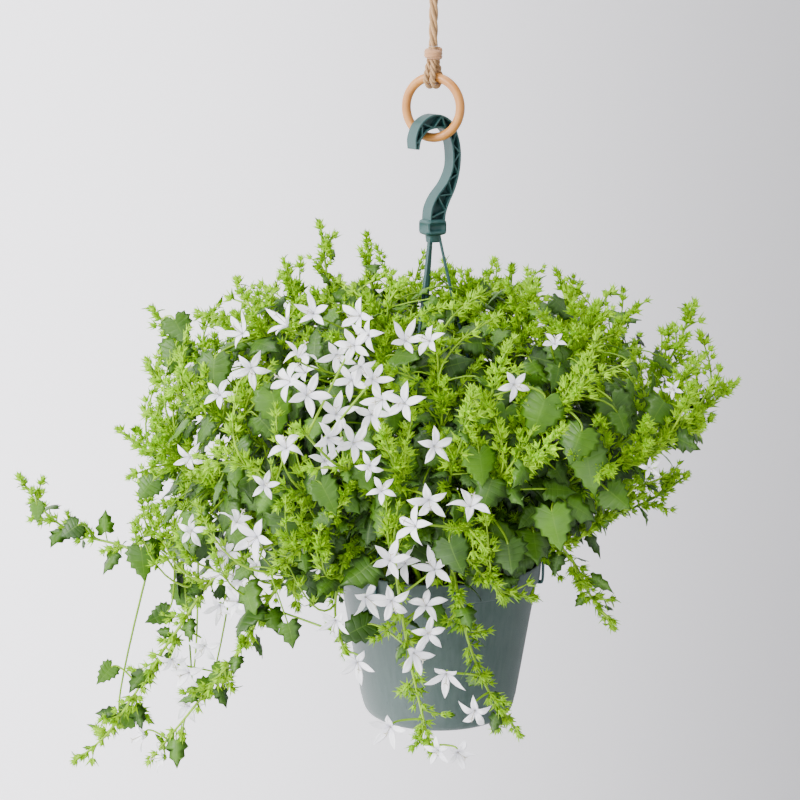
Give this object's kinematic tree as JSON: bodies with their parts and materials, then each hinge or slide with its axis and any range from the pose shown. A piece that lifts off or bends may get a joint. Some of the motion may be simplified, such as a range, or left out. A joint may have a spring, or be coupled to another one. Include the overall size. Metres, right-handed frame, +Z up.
{
  "type": "campanula hanging basket",
  "caption": "Trailing white star-flowered campanula in a round plastic hanging pot, hung by a moulded three-armed hook from a wooden ring on a short jute rope.",
  "frame": {"origin": "the point that holds the rope, at the top of its knot; the pot's base is 0.561 m below it", "axes": "+Z up, +X to the right and +Y away as the picture shows the basket"},
  "size_m": [0.5298, 0.3908, 0.5947],
  "materials": {
    "pot_plastic": "satin",
    "hook_plastic": "satin",
    "soil": "crumbly",
    "wood": "smooth",
    "jute": "laid",
    "foliage": "matt"
  },
  "bodies": {
    "root": {"pot": "pot_plastic", "soil": "soil", "hanger": "hook_plastic", "wood_ring": "wood", "rope_eye": "jute", "whipping": "jute", "rope": "jute", "rope_knot": "jute", "leafy_stem_01": "foliage", "leafy_stem_02": "foliage", "leafy_stem_03": "foliage", "leafy_stem_04": "foliage", "leafy_stem_05": "foliage", "leafy_stem_06": "foliage", "leafy_stem_07": "foliage", "leafy_stem_08": "foliage", "leafy_stem_09": "foliage", "leafy_stem_10": "foliage", "leafy_stem_11": "foliage", "leafy_stem_12": "foliage", "leafy_stem_13": "foliage", "leafy_stem_14": "foliage", "leafy_stem_15": "foliage", "leafy_stem_16": "foliage", "leafy_stem_17": "foliage", "leafy_stem_18": "foliage", "leafy_stem_19": "foliage", "leafy_stem_20": "foliage", "leafy_stem_21": "foliage", "leafy_stem_22": "foliage", "leafy_stem_23": "foliage", "leafy_stem_24": "foliage", "leafy_stem_25": "foliage", "leafy_stem_26": "foliage", "leafy_stem_27": "foliage", "leafy_stem_28": "foliage", "leafy_stem_29": "foliage", "leafy_stem_30": "foliage", "leafy_stem_31": "foliage", "leafy_stem_32": "foliage", "leafy_stem_33": "foliage", "leafy_stem_34": "foliage", "leafy_stem_35": "foliage", "leafy_stem_36": "foliage", "leafy_stem_37": "foliage", "leafy_stem_38": "foliage", "leafy_stem_39": "foliage", "leafy_stem_40": "foliage", "leafy_stem_41": "foliage", "leafy_stem_42": "foliage", "leafy_stem_43": "foliage", "leafy_stem_44": "foliage", "leafy_stem_45": "foliage", "leafy_stem_46": "foliage", "leafy_stem_47": "foliage", "leafy_stem_48": "foliage", "leafy_stem_49": "foliage", "leafy_stem_50": "foliage", "leafy_stem_51": "foliage", "leafy_stem_52": "foliage"}
  },
  "joints": []
}
